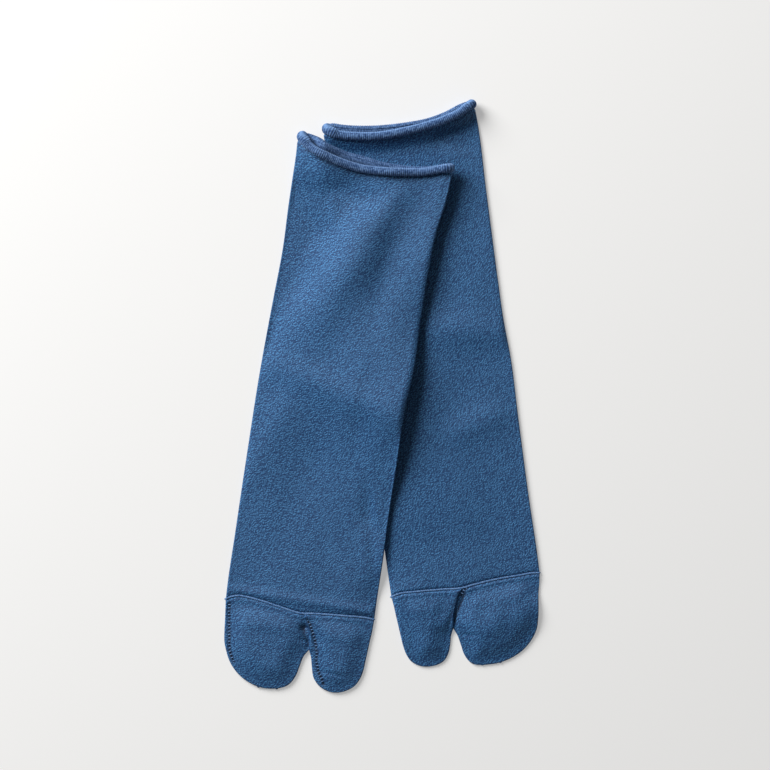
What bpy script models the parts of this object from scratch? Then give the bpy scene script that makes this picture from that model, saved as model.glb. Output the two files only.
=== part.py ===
"""A pair of tabi socks in fine jersey, laid flat with the right sock partly over the left one.

Each sock is a heel-less tube whose raw edge curls outward as a rolled cuff, and a toe pocket that splits
into a broad lobe and a big-toe lobe, joined to the tube by a linked seam across the instep.

Lengths are in millimetres and become metres where a mesh is made. A sock has its own flat frame: s runs
from the cuff to the toes, a runs across it from its left fold to its right one, and z is up.
"""

import math
from collections import namedtuple

import bmesh
import bpy
import numpy as np

MM = 0.001

WALL = 1.0  # thickness of the jersey
SEAM_GAP = 0.3  # parts the tube from the toe pocket
FLAT = 2.8  # both layers of a flat leg with the air between them
CROWN = 0.8  # how much higher the middle of a leg stands than its folds
CROWN_REACH = 26.0  # distance from a fold over which the crown rises
MOST_AIR = 3.4  # between the layers, where they part most
TOE_PUFF = 1.3  # the same for a toe lobe
TOE_PUFF_REACH = 13.0

ROLL_UPPER = 1.75  # radius of the cuff's roll on the upper layer, at the face that ends up inside it
ROLL_LOWER = 1.25  # the same on the lower layer, which the sock's weight presses
ROLL_END = 1.15  # the same where the cuff goes round a fold
ROLL_TAPER = 9.0  # distance from a fold over which the roll reaches its full radius
ROLL_REST = 0.4  # space between the roll's free edge and the leg
ROLL_STEPS = 9
CUFF_FLAT = 4.0  # stretch of leg under the roll that stays level
CUFF_RISE = 12.0  # stretch over which the lower layer climbs onto its roll
MOUTH = 1.2  # how far the mouth gapes beyond the leg's own air
NARROWING = 3.0  # how far each fold draws in under the roll
NARROWING_REACH = 6.0

LYING_GAP = 0.6  # between the upper sock and the one it lies on
DRAPE_LOWER = (-10.0, -0.8)  # the lower layer climbs the other sock's edge between these distances past it
DRAPE_UPPER = (-20.0, 1.0)  # the upper layer bridges it more gently
CURL_WIDTH = 30.0  # width of the stretch along the right fold that stands up off the other sock

SEAM_RADIUS = 0.5  # of the linked seam's ridge
SEAM_LIFT = 0.35  # between the ridge and the jersey under it
EAR = 0.3  # how far the ridge's ends stand out past the folds
SEAM_PALER = 1.3  # the linking yarn's colour over the jersey's

LEG_COLUMNS = 11  # points across the upper layer, between its folds
SOLE_COLUMNS = 10
LOBE_COLUMNS = (5, 4)  # the same across a sock's left and right lobes
DRAPE_CROWDING = 5.0  # how much closer points stand where a layer climbs
CUFF_ROWS = (0.0, 2.2, 4.5, 8.0, 12.0, 18.0)  # distances from the cuff
LEG_ROWS = 17
FOOT_ROW = 0.3  # an extra row between a lobe's first two sections
TIP_ROWS = (0.45, 0.8)  # and more between its last section and its tip

Section = namedtuple("Section", "s left right")  # the leg's two folds at a distance from the cuff
Mouth = namedtuple("Mouth", "share upper lower")  # centre of the roll, at a share of the way across
Seam = namedtuple("Seam", "share s")
Row = namedtuple("Row", "s_left left s_right right")  # one section of a toe lobe, by its two ends
Fold = namedtuple("Fold", "a s turn reach width height")  # a ridge, or a trough if its height is negative
Curl = namedtuple("Curl", "s height")
Sock = namedtuple(
    "Sock", "name place turn sections mouth seam split left_lobe right_lobe folds curl under colour"
)

LEFT_SOCK = Sock(
    name="left",
    place=(9.8, 175.5),
    turn=-8.26,
    sections=(
        Section(-6, -49.2, 49.2),
        Section(8, -49.0, 49.3),
        Section(24, -47.6, 49.2),
        Section(45, -47.4, 48.6),
        Section(80, -47.4, 48.0),
        Section(110, -47.4, 47.6),
        Section(135, -47.4, 47.5),
        Section(160, -47.4, 48.5),
        Section(200, -47.4, 47.8),
        Section(250, -47.5, 47.2),
        Section(285, -47.6, 47.3),
        Section(300, -47.6, 47.0),
    ),
    mouth=(
        Mouth(0.0, -0.4, -0.4),
        Mouth(0.1, 4.4, 0.3),
        Mouth(0.25, 7.6, 3.9),
        Mouth(0.45, 9.3, 5.9),
        Mouth(0.65, 8.1, 5.3),
        Mouth(0.85, 3.6, 1.8),
        Mouth(1.0, -2.2, -2.2),
    ),
    seam=(
        Seam(0.0, 298.4),
        Seam(0.06, 296.8),
        Seam(0.16, 297.4),
        Seam(0.36, 298.8),
        Seam(0.47, 298.5),
        Seam(0.56, 297.5),
        Seam(0.7, 296.1),
        Seam(0.94, 295.8),
        Seam(1.0, 296.9),
    ),
    split=(-4.2, 301.3),
    left_lobe=(
        Row(303.5, -47.0, 301.6, -4.6),
        Row(310.0, -46.5, 307.0, -7.5),
        Row(317.0, -45.9, 314.5, -10.5),
        Row(324.0, -45.3, 322.2, -11.9),
        Row(330.0, -44.7, 328.0, -13.8),
        Row(335.5, -43.5, 333.5, -15.2),
        Row(340.0, -41.3, 338.5, -17.0),
        Row(343.6, -36.8, 342.6, -20.0),
        Row(345.3, -29.0, 345.3, -29.0),
    ),
    right_lobe=(
        Row(301.6, -4.1, 303.0, 46.0),
        Row(307.0, -7.0, 309.5, 44.5),
        Row(314.5, -10.0, 317.0, 43.5),
        Row(322.2, -11.4, 324.5, 42.2),
        Row(328.5, -9.8, 331.5, 40.2),
        Row(334.5, -8.6, 337.8, 36.0),
        Row(341.0, -7.3, 342.8, 30.6),
        Row(346.4, -4.2, 346.6, 23.6),
        Row(349.4, 8.5, 349.4, 8.5),
    ),
    folds=(
        Fold(25.0, 148.0, 20.0, 24.0, 4.0, -0.9),
        Fold(20.0, 135.0, 14.0, 17.0, 7.0, 0.9),
        Fold(30.0, 200.0, 100.0, 22.0, 9.0, -0.7),
        Fold(14.0, 322.0, 115.0, 12.0, 7.0, 0.8),
    ),
    curl=(Curl(0, 0.0), Curl(300, 0.0)),
    under=None,
    colour=(0.052, 0.118, 0.262),
)

RIGHT_SOCK = Sock(
    name="right",
    place=(-4.5, 151.2),
    turn=9.0,
    sections=(
        Section(-6, -50.2, 49.7),
        Section(8, -49.5, 49.4),
        Section(22, -49.4, 48.5),
        Section(40, -49.2, 45.7),
        Section(65, -48.5, 44.5),
        Section(100, -49.5, 44.5),
        Section(132, -50.4, 45.0),
        Section(152, -50.7, 43.5),
        Section(190, -50.6, 43.8),
        Section(222, -50.4, 43.9),
        Section(250, -50.1, 44.6),
        Section(278, -49.9, 44.8),
        Section(300, -49.0, 45.4),
    ),
    mouth=(
        Mouth(0.0, -5.6, -5.6),
        Mouth(0.1, 1.7, -4.4),
        Mouth(0.25, 7.3, 2.0),
        Mouth(0.45, 10.0, 5.7),
        Mouth(0.65, 7.9, 6.0),
        Mouth(0.85, 3.9, 3.2),
        Mouth(1.0, -0.9, -0.9),
    ),
    seam=(
        Seam(0.0, 293.4),
        Seam(0.04, 291.2),
        Seam(0.09, 288.3),
        Seam(0.15, 287.7),
        Seam(0.26, 289.3),
        Seam(0.4, 292.0),
        Seam(0.5, 292.3),
        Seam(0.6, 290.9),
        Seam(0.8, 289.8),
        Seam(1.0, 288.9),
    ),
    split=(2.2, 295.2),
    left_lobe=(
        Row(298.0, -48.5, 295.4, 2.1),
        Row(304.0, -47.8, 301.0, 4.7),
        Row(310.5, -47.1, 307.0, 6.7),
        Row(317.0, -46.1, 312.4, 7.2),
        Row(323.0, -43.9, 318.5, 4.7),
        Row(328.8, -40.9, 325.0, 3.2),
        Row(334.2, -36.2, 331.5, 1.7),
        Row(338.8, -29.6, 337.0, -1.3),
        Row(342.1, -14.5, 342.1, -14.5),
    ),
    right_lobe=(
        Row(295.4, 2.6, 297.0, 44.9),
        Row(301.0, 5.2, 303.5, 44.4),
        Row(307.0, 7.2, 309.5, 44.1),
        Row(312.4, 7.7, 315.5, 43.7),
        Row(318.0, 9.2, 321.5, 43.3),
        Row(324.5, 10.9, 327.0, 42.0),
        Row(330.5, 12.8, 331.8, 39.4),
        Row(335.2, 17.0, 335.3, 35.3),
        Row(338.1, 26.8, 338.1, 26.8),
    ),
    folds=(
        Fold(-7.0, 63.0, 118.0, 52.0, 10.0, 2.0),
        Fold(8.0, 156.0, 10.0, 34.0, 4.0, -0.9),
        Fold(-38.0, 279.0, 8.0, 13.0, 5.0, 1.0),
        Fold(20.0, 235.0, 60.0, 22.0, 9.0, -0.8),
        Fold(26.0, 330.0, -8.0, 8.0, 3.0, -0.6),
    ),
    curl=(
        Curl(0, 0.6),
        Curl(60, 1.6),
        Curl(130, 4.0),
        Curl(190, 4.2),
        Curl(240, 1.4),
        Curl(275, 0.0),
        Curl(300, 0.0),
    ),
    under=LEFT_SOCK,
    colour=(0.056, 0.128, 0.280),
)


def ease(value):
    """0 before 0, 1 after 1 and smooth between them."""
    value = np.clip(value, 0.0, 1.0)
    return value * value * (3.0 - 2.0 * value)


def through(knots, values, where):
    """A smooth curve through the values at the knots, read at each place."""
    knots, values = np.asarray(knots, float), np.asarray(values, float)
    slopes = np.gradient(values, knots)
    where = np.clip(where, knots[0], knots[-1])
    index = np.clip(np.searchsorted(knots, where, side="right") - 1, 0, len(knots) - 2)
    step = knots[index + 1] - knots[index]
    t = (where - knots[index]) / step
    return (
        values[index] * (1 + 2 * t) * (1 - t) ** 2
        + values[index + 1] * t * t * (3 - 2 * t)
        + slopes[index] * step * t * (1 - t) ** 2
        - slopes[index + 1] * step * t * t * (1 - t)
    )


def column(table, name):
    return [getattr(row, name) for row in table]


def folds_at(sock, s):
    """Where the leg's left and right folds are, at a distance from the cuff."""
    at = column(sock.sections, "s")
    return through(at, column(sock.sections, "left"), s), through(at, column(sock.sections, "right"), s)


def mouth_at(sock, share, layer):
    return through(column(sock.mouth, "share"), column(sock.mouth, layer), share)


def seam_at(sock, share, layer):
    """The seam dips and rises on the instep, and the sole carries on straight under it."""
    s = through(column(sock.seam, "share"), column(sock.seam, "s"), share)
    straight = sock.seam[0].s + share * (sock.seam[-1].s - sock.seam[0].s)
    return s if layer == "upper" else straight


def to_world(sock, a, s):
    turn = math.radians(sock.turn)
    x = sock.place[0] + a * math.cos(turn) - s * math.sin(turn)
    y = sock.place[1] - a * math.sin(turn) - s * math.cos(turn)
    return x, y


def to_sock(sock, x, y):
    turn = math.radians(sock.turn)
    x, y = x - sock.place[0], y - sock.place[1]
    return x * math.cos(turn) - y * math.sin(turn), -x * math.sin(turn) - y * math.cos(turn)


def past_edge(sock, a, s):
    """How far a place on the upper sock lies inside the left fold of the sock under it."""
    under_a, under_s = to_sock(sock.under, *to_world(sock, a, s))
    return under_a - folds_at(sock.under, under_s)[0]


def lying_height(sock, a, s, drape):
    """What the upper sock lies on: the surface, then up and over the other sock."""
    if sock.under is None:
        return np.zeros_like(a)
    under_a, under_s = to_sock(sock.under, *to_world(sock, a, s))
    left = folds_at(sock.under, under_s)[0]
    top = height(sock.under, np.maximum(under_a, left + CROWN_REACH), under_s, "upper", folds=False)
    return (top + LYING_GAP) * ease((under_a - left - drape[0]) / (drape[1] - drape[0]))


def creases(sock, a, s):
    total = np.zeros_like(a)
    for fold in sock.folds:
        turn = math.radians(fold.turn)
        along = (a - fold.a) * math.cos(turn) + (s - fold.s) * math.sin(turn)
        across = (s - fold.s) * math.cos(turn) - (a - fold.a) * math.sin(turn)
        total += fold.height * np.exp(-((along / fold.reach) ** 4) - (across / fold.width) ** 2)
    return total


def height(sock, a, s, layer, folds=True):
    """Height of a layer's outer face away from the folds' rounding."""
    left, right = folds_at(sock, s)
    share = np.clip((a - left) / (right - left), 0.0, 1.0)
    inside = np.minimum(a - left, right - a)
    from_cuff = s - mouth_at(sock, share, layer)
    on_roll = ease(1.0 - (from_cuff - CUFF_FLAT) / CUFF_RISE)
    curl = through(column(sock.curl, "s"), column(sock.curl, "height"), s)
    z = (2 * ROLL_LOWER + WALL) * on_roll + curl * ease((a - right + CURL_WIDTH) / CURL_WIDTH)
    if layer == "lower":
        return z + lying_height(sock, a, s, DRAPE_LOWER)
    lower = height(sock, a, s, "lower")
    on_toes = ease((s - sock.split[1]) / TOE_PUFF_REACH)
    z += lying_height(sock, a, s, DRAPE_UPPER) + FLAT + CROWN * ease(inside / CROWN_REACH) * (1.0 - on_toes)
    z += MOUTH * on_roll * ease(inside / ROLL_TAPER)
    z += creases(sock, a, s) * ease(inside / ROLL_TAPER) if folds else 0.0
    return np.minimum(z, lower + 2 * WALL + MOST_AIR)


def rounded(sock, a, s, layer, inside, puff=0.0, depth=0.0):
    """Height of a point of a layer, with the fold beside it rounded from one layer into the other.

    The point lies at a depth in the wall, and so far inside the fold of the face at that depth.
    """
    upper, lower = height(sock, a, s, "upper") + puff, height(sock, a, s, "lower")
    middle, half = (upper + lower) / 2, (upper - lower) / 2 - depth
    dome = np.sqrt(1.0 - (1.0 - np.clip(inside / (FLAT / 2 - depth), 0.0, 1.0)) ** 2)
    return middle + (half if layer == "upper" else -half) * dome


def spread(count, length, depth=0.0, crowding=None):
    """Distances of a row's points from its left end: the tips, two round each fold, and the rest between.

    The points stand closer where the crowding is high.
    """
    radius = min(FLAT / 2 - depth, length / 4)
    corner = radius * (1.0 - math.sqrt(0.5))
    between = np.linspace(radius, length - radius, 81)
    weight = np.ones_like(between) if crowding is None else crowding(between)
    sums = np.concatenate(([0.0], np.cumsum((weight[1:] + weight[:-1]) / 2)))
    inner = np.interp(np.linspace(0.0, sums[-1], count + 2), sums, between)
    return np.concatenate(([0.0, corner], inner, [length - corner, length]))


def loop_of(upper, lower):
    """One ring from a row's upper points, left to right, and its lower ones, which share the tips."""
    return np.concatenate((upper, lower[-2:0:-1]))


def leg_row(sock, from_cuff, toward):
    """The ring at a share of the way from the cuff to the seam, plus a distance from the cuff."""
    layers = []
    for layer, count in (("upper", LEG_COLUMNS), ("lower", SOLE_COLUMNS)):
        ends = []
        for share in (0.0, 1.0):
            s = mouth_at(sock, share, layer)
            s += (seam_at(sock, share, layer) - s) * toward + from_cuff
            drawn_in = NARROWING * ease(1.0 - (s - mouth_at(sock, share, layer)) / NARROWING_REACH)
            fold = folds_at(sock, s)[int(share)]
            ends.append(fold + drawn_in * (1.0 - 2.0 * share))
        length = ends[1] - ends[0]

        def place(distance):
            share = distance / length
            s = mouth_at(sock, share, layer)
            return ends[0] + distance, s + (seam_at(sock, share, layer) - s) * toward + from_cuff

        def crowding(distance):
            if sock.under is None or layer == "upper":
                return np.ones_like(distance)
            edge = past_edge(sock, *place(distance)) - DRAPE_LOWER[0] / 2
            return 1.0 + DRAPE_CROWDING * np.exp(-((edge / DRAPE_LOWER[0]) ** 2) * 1.5)

        distance = spread(count, length, crowding=crowding)
        a, s = place(distance)
        inside = np.minimum(distance, length - distance)
        layers.append(np.column_stack((a, s, rounded(sock, a, s, layer, inside))))
    return loop_of(*layers)


def in_space(sock, ring):
    x, y = to_world(sock, ring[:, 0], ring[:, 1])
    return np.column_stack((x, y, ring[:, 2]))


def unit(vectors):
    return vectors / np.linalg.norm(vectors, axis=1, keepdims=True)


def rolled_cuff(cuff, next_ring, distance_to_fold):
    """Rings that carry the leg on past the cuff, outward and back round onto the leg."""
    along = unit(np.roll(cuff, -1, axis=0) - np.roll(cuff, 1, axis=0))
    leg = unit(next_ring - cuff)
    outward = unit(np.cross(leg, along))
    away = unit(np.cross(along, outward))
    away *= np.sign(-(away * leg).sum(axis=1, keepdims=True))
    full = np.where(outward[:, 2] > 0, ROLL_UPPER, ROLL_LOWER)
    radius = ROLL_END + (full - ROLL_END) * ease(distance_to_fold / ROLL_TAPER)
    end = 2 * math.pi - np.arccos((radius - ROLL_REST) / (radius + WALL))
    rings = []
    for step in range(1, ROLL_STEPS + 1):
        turn = end * step / ROLL_STEPS
        rise = radius * (1.0 - np.cos(turn))
        reach = radius * np.sin(turn)
        rings.append(cuff + outward * rise[:, None] + away * reach[:, None])
    return rings


def bridge(mesh, first, second, closed=True):
    """Faces between two rows of vertices, of which one may be a single vertex repeated."""
    last = len(first) if closed else len(first) - 1
    for i in range(last):
        j = (i + 1) % len(first)
        corners = (first[i], second[i], second[j], first[j])
        mesh.faces.new(list(dict.fromkeys(corners)))


def vertices(mesh, points):
    return [mesh.verts.new(point * MM) for point in points]


def cloth_object(name, mesh, colour, collection):
    data = bpy.data.meshes.new(name)
    mesh.to_mesh(data)
    mesh.free()
    data.shade_smooth()
    obj = bpy.data.objects.new(name, data)
    collection.objects.link(obj)
    obj.data.materials.append(jersey_material(name, colour))
    return obj


def jersey_material(name, colour):
    material = bpy.data.materials.new(name)
    material.use_nodes = True
    shader = material.node_tree.nodes["Principled BSDF"]
    shader.inputs["Base Color"].default_value = (*colour, 1.0)
    shader.inputs["Roughness"].default_value = 0.9
    shader.inputs["Metallic"].default_value = 0.0
    return material


def tube(sock, collection):
    """The leg and foot, from the free edge of the rolled cuff to the toe seam."""
    from_cuff = [leg_row(sock, distance, 0.0) for distance in CUFF_ROWS]
    # The rows past the cuff's own take up the difference between the cuff's line and the seam's.
    shares = np.linspace(0.0, 1.0, LEG_ROWS + 1)[1:]
    to_seam = [leg_row(sock, CUFF_ROWS[-1] * (1.0 - share), share) for share in shares]
    leg = [in_space(sock, row) for row in from_cuff + to_seam]
    left, right = folds_at(sock, from_cuff[0][:, 1])
    to_fold = np.minimum(from_cuff[0][:, 0] - left, right - from_cuff[0][:, 0])
    rolled = rolled_cuff(leg[0], leg[1], to_fold)
    mesh = bmesh.new()
    rings = [vertices(mesh, ring) for ring in reversed(rolled)] + [vertices(mesh, ring) for ring in leg]
    for first, second in zip(rings, rings[1:]):
        bridge(mesh, first, second)
    obj = cloth_object(f"{sock.name}_sock_tube", mesh, sock.colour, collection)
    solidify = obj.modifiers.new("jersey", "SOLIDIFY")
    solidify.thickness = WALL * MM
    solidify.offset = -1.0
    solidify.use_even_offset = True
    return obj


class Lobe:
    """A toe lobe's outline at a depth in the wall: down its left side, round its tip and up its right."""

    def __init__(self, sock, rows, columns, depth):
        self.sock, self.columns, self.depth, self.last = sock, columns, depth, len(rows) - 1
        left = [(row.left, row.s_left) for row in rows]
        right = [(row.right, row.s_right) for row in rows[-2::-1]]
        self.points = np.array(left + right)
        steps = np.linalg.norm(np.diff(self.points, axis=0), axis=1)
        self.knots = np.concatenate(([0.0], np.cumsum(steps)))
        self.outline = self.at(np.linspace(0, 2 * self.last, 12 * self.last + 1))

    def curve(self, where):
        return np.column_stack([through(self.knots, self.points[:, axis], where) for axis in (0, 1)])

    def at(self, index):
        """Points (a, s) at indices into the table's points, fractions too."""
        where = np.interp(index, np.arange(len(self.knots)), self.knots)
        tangent = unit(self.curve(where + 0.1) - self.curve(where - 0.1))
        inward = np.column_stack((tangent[:, 1], -tangent[:, 0]))
        return self.curve(where) + inward * self.depth

    def inside(self, points):
        """Distance of each point from the outline."""
        start, step = self.outline[:-1], np.diff(self.outline, axis=0)
        offset = points[:, None, :] - start[None, :, :]
        t = np.clip((offset * step).sum(axis=2) / (step**2).sum(axis=1), 0.0, 1.0)
        return np.linalg.norm(offset - t[:, :, None] * step, axis=2).min(axis=1)

    def row(self, index):
        """The upper and the lower points of a section, left to right."""
        left, right = self.at(np.array([index, 2 * self.last - index], float))
        distance = spread(self.columns, np.linalg.norm(right - left), self.depth)
        return self.lift(left + (right - left) * (distance / distance[-1])[:, None])

    def lift(self, points):
        """The points (a, s) raised to the upper and to the lower layer."""
        inside = self.inside(points)
        puff = TOE_PUFF * ease((inside + self.depth) / TOE_PUFF_REACH)
        return [
            np.column_stack((points, rounded(self.sock, *points.T, layer, inside, puff, self.depth)))
            for layer in ("upper", "lower")
        ]


def toe_base(sock, depth):
    """The toe pocket's first row, beside the seam: upper and lower points, left to right."""
    layers = []
    for layer in ("upper", "lower"):
        folds = [
            folds_at(sock, seam_at(sock, share, layer) + SEAM_GAP)[int(share)] for share in (0.0, 1.0)
        ]
        left, right = folds[0] + depth, folds[1] - depth
        beside_left = left + spread(LOBE_COLUMNS[0], sock.split[0] - left, depth)[:-3]
        beside_right = sock.split[0] + spread(LOBE_COLUMNS[1], right - sock.split[0], depth)[3:]
        a = np.concatenate((beside_left, sock.split[:1], beside_right))
        s = seam_at(sock, (a - left) / (right - left), layer) + SEAM_GAP
        inside = np.minimum(a - left, right - a)
        layers.append(np.column_stack((a, s, rounded(sock, a, s, layer, inside, depth=depth))))
    return layers


def web_points(sock, depth):
    """The cloth at the foot of the split, from the upper layer round to the lower one, in its line."""
    foot, after = sock.left_lobe[:2]
    slant = (after.right - foot.right) / (after.s_right - foot.s_right)
    turns = np.radians([90, 45, 0, -45, -90])
    back = FLAT / 2 - (FLAT / 2 - depth) * np.cos(turns)
    a, s = sock.split[0] - slant * back, sock.split[1] - back
    upper, lower = (height(sock, a, s, layer) for layer in ("upper", "lower"))
    z = (upper + lower) / 2 + ((upper - lower) / 2 - depth) * np.sin(turns)
    return np.column_stack((a, s, z))


def lobe_surface(sock, mesh, depth, side, base, web, join):
    """One lobe's face at a depth in the wall, from the base row and the web to the tip."""
    lobe = Lobe(sock, (sock.left_lobe, sock.right_lobe)[side], LOBE_COLUMNS[side], depth)
    split = LOBE_COLUMNS[0] + 3
    kept = (slice(0, -3), slice(3, None))[side]
    base = [layer[: split + 1] if side == 0 else layer[split:] for layer in base]
    upper, lower = lobe.row(0)
    upper = vertices(mesh, in_space(sock, upper[kept]))
    lower = vertices(mesh, in_space(sock, lower[kept][1:] if side == 0 else lower[kept][:-1]))
    if side == 0:
        join(base[1][:0:-1] + base[0], [web[4], *lower[::-1], *upper, web[0]], False)
        ring = [*upper, *web, *lower[::-1]]
    else:
        join(base[0] + base[1][-2::-1], [web[0], *upper, *lower[::-1], web[4]], False)
        ring = [*web[2::-1], *upper, *lower[::-1], *web[:2:-1]]
    for index in [FOOT_ROW, *range(1, lobe.last), *(lobe.last - 1 + share for share in TIP_ROWS)]:
        following = vertices(mesh, in_space(sock, loop_of(*lobe.row(index))))
        join(ring, following, True)
        ring = following
    tip = vertices(mesh, in_space(sock, lobe.lift(lobe.at(np.array([lobe.last])))[0]))
    join(ring, tip * len(ring), True)


def toe_surface(sock, mesh, depth):
    """The toe pocket's face at a depth in the wall. Returns the ring of its open edge."""

    def join(first, second, closed):
        bridge(mesh, *((first, second) if depth == 0.0 else (second, first)), closed)

    upper, lower = toe_base(sock, depth)
    upper = vertices(mesh, in_space(sock, upper))
    lower = [upper[0], *vertices(mesh, in_space(sock, lower[1:-1])), upper[-1]]
    web = vertices(mesh, in_space(sock, web_points(sock, depth)))
    for side in (0, 1):
        lobe_surface(sock, mesh, depth, side, (upper, lower), web, join)
    return upper + lower[-2:0:-1]


def toe_pocket(sock, collection):
    """Both lobes, with the outer and inner faces made apart, as Solidify would cross itself at the tips."""
    mesh = bmesh.new()
    outer = toe_surface(sock, mesh, 0.0)
    inner = toe_surface(sock, mesh, WALL)
    bridge(mesh, inner, outer)
    return cloth_object(f"{sock.name}_sock_toe", mesh, sock.colour, collection)


def linked_seam(sock, collection):
    """The chained ridge across the instep, over both edges that it joins, with an ear past each fold."""
    row = leg_row(sock, SEAM_GAP / 2, 1.0)[: LEG_COLUMNS + 6]
    # The first and last points above the folds' rounding carry on level, out over the folds.
    ridge = row[[0, *range(2, len(row) - 2), -1]]
    ridge[[0, -1], 2] = ridge[[1, -2], 2]
    ridge[[0, -1], 0] += (-EAR, EAR)
    path = in_space(sock, ridge + [0.0, 0.0, SEAM_LIFT + SEAM_RADIUS])
    curve = bpy.data.curves.new(f"{sock.name}_toe_seam", "CURVE")
    curve.dimensions = "3D"
    curve.bevel_depth = SEAM_RADIUS * MM
    curve.bevel_resolution = 1
    curve.use_fill_caps = True
    spline = curve.splines.new("POLY")
    spline.points.add(len(path) - 1)
    for point, place in zip(spline.points, path):
        point.co = (*(place * MM), 1.0)
    curve.materials.append(jersey_material(curve.name, [SEAM_PALER * channel for channel in sock.colour]))
    obj = bpy.data.objects.new(curve.name, curve)
    collection.objects.link(obj)
    return obj


def centre_on_ground(objects):
    """Moves the pair so that the middle of its footprint is the origin."""
    bpy.context.view_layer.update()
    graph = bpy.context.evaluated_depsgraph_get()
    corners = []
    for obj in objects:
        evaluated = obj.evaluated_get(graph)
        data = evaluated.to_mesh()
        points = np.empty(len(data.vertices) * 3, np.float32)
        data.vertices.foreach_get("co", points)
        corners += [points.reshape(-1, 3).min(axis=0), points.reshape(-1, 3).max(axis=0)]
        evaluated.to_mesh_clear()
    middle = (np.min(corners, axis=0) + np.max(corners, axis=0)) / 2
    for obj in objects:
        obj.location = (-float(middle[0]), -float(middle[1]), -float(np.min(corners, axis=0)[2]))


def main():
    for obj in list(bpy.data.objects):
        bpy.data.objects.remove(obj, do_unlink=True)
    collection = bpy.data.collections.new("tabi_socks")
    bpy.context.scene.collection.children.link(collection)
    pieces = [
        make(sock, collection)
        for sock in (RIGHT_SOCK, LEFT_SOCK)
        for make in (tube, toe_pocket, linked_seam)
    ]
    centre_on_ground(pieces)


main()
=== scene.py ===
"""A pair of tabi socks in fine blue jersey, laid flat with the right sock partly over the left one.

Each sock is a knitted leg whose raw edge curls outward as a rolled cuff, a two-lobed toe pocket, the chained
yarn that links the two across the instep, and the stitches of the gores in its toes. The cloth is a thin
shell on the form of the CAD's solids. Lengths are in millimetres until a mesh is made.

A sock has its own flat frame: s runs from the cuff to the toes, a runs across it from its left fold to its
right one, and z is up.
"""

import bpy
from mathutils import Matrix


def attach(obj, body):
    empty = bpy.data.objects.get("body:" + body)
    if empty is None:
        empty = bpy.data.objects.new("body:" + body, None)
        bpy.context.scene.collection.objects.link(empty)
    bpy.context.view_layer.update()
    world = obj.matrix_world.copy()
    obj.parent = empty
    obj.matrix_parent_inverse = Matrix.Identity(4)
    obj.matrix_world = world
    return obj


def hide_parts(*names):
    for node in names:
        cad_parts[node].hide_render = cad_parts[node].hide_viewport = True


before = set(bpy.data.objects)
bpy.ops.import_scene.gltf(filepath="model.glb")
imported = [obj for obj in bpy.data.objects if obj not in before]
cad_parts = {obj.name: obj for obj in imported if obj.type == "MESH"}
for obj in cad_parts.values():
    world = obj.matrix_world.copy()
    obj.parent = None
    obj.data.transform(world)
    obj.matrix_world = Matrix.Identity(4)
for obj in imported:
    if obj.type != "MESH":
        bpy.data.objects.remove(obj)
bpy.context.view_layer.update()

import math
from collections import namedtuple

import bpy
import numpy as np
from mathutils import Vector

MM = 0.001
CENTRED = (0.13, -0.16, 0.05)  # moves the socks' own frame to the middle of the pair's footprint

# ---------------------------------------------------------------- sizes

WALL = 0.7  # thickness of the jersey
SEAM_GAP = 0.3  # parts the leg from the toe pocket
FLAT = 2.0  # both layers beside a fold
EDGE = 0.85  # distance from a fold over which one layer turns into the other
CROWN = 1.6  # how much higher the middle of a leg stands than its folds
CROWN_REACH = 26.0  # distance from a fold over which the crown rises
LEAST_AIR = 0.1  # between the layers, where they lie closest
MOST_AIR = 12.0  # and where they part most
PUFF_REACH = 15.0  # distance from a toe lobe's edge over which it rises to its puff
PUFF_RISE = 14.0  # and the distance over which it does so past the linked seam
PUFF_START = 4.0  # from the linked seam to the split, at most

ROLL_WALL = 1.0  # thickness of the jersey in the roll, fuzz included
ROLL_UPPER = 1.6  # radius of the cuff's roll on the upper layer, at the face that ends up inside it
ROLL_LOWER = 1.25  # the same on the lower layer, which the sock's weight presses
ROLL_END = (2.35, 1.9)  # the same where the cuff goes round its left and right folds
ROLL_TAPER = 6.0  # distance from a fold over which the roll reaches its full radius
ROLL_REST = (0.4, 1.25)  # space between the roll's free edge and the leg, on the upper and lower layers
CUFF_RISE = (0.6, 5.4)  # the lower layer climbs onto its roll between these distances from the mouth
MOUTH = 1.2  # how far the mouth gapes beyond the leg's own air
NARROWING = (5.0, 2.8)  # how far the left and right folds draw in under the roll
NARROWING_REACH = 4.0
CREASE_TAPER = 2.5  # distance from a fold over which a crease fades out
SOFT_LOW = 0.1  # how gently heights are kept above the least air
SOFT_HIGH = 0.4  # and below the most

LYING_GAP = 0.6  # between the upper sock and the one it lies on
DRAPE_LOWER = (-10.0, -0.8)  # the lower layer climbs the other sock's edge between these distances past it
DRAPE_UPPER = (-40.0, 10.0)  # the upper layer bridges it more gently
BRIDGE_REACH = 22.0  # distance from a fold over which the upper layer leaves the lower one to do so
CURL_WIDTH = 30.0  # width of the stretch along the right fold that stands up off the other sock

WALES = 204  # columns of stitches round a leg
WALE = 0.95  # the width of one on the toes
COURSE = 0.9  # height of a row of stitches
HEATHER = (0.62, 0.9)  # a fleck of the heather, across and along the slant of the yarn
RIB = 1.15  # pitch of the purl ribs across the rolled cuff
RIB_DEPTH = 0.2
PAINTED_HIGHLIGHT_COURSE = 4.6  # courses round the roll to the one that faces the mouth, where a painted highlight runs along the rim
PAINTED_HIGHLIGHT_WIDTH = 1.3
ROLL_COURSE = 0.55  # courses in each step round the roll

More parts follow.
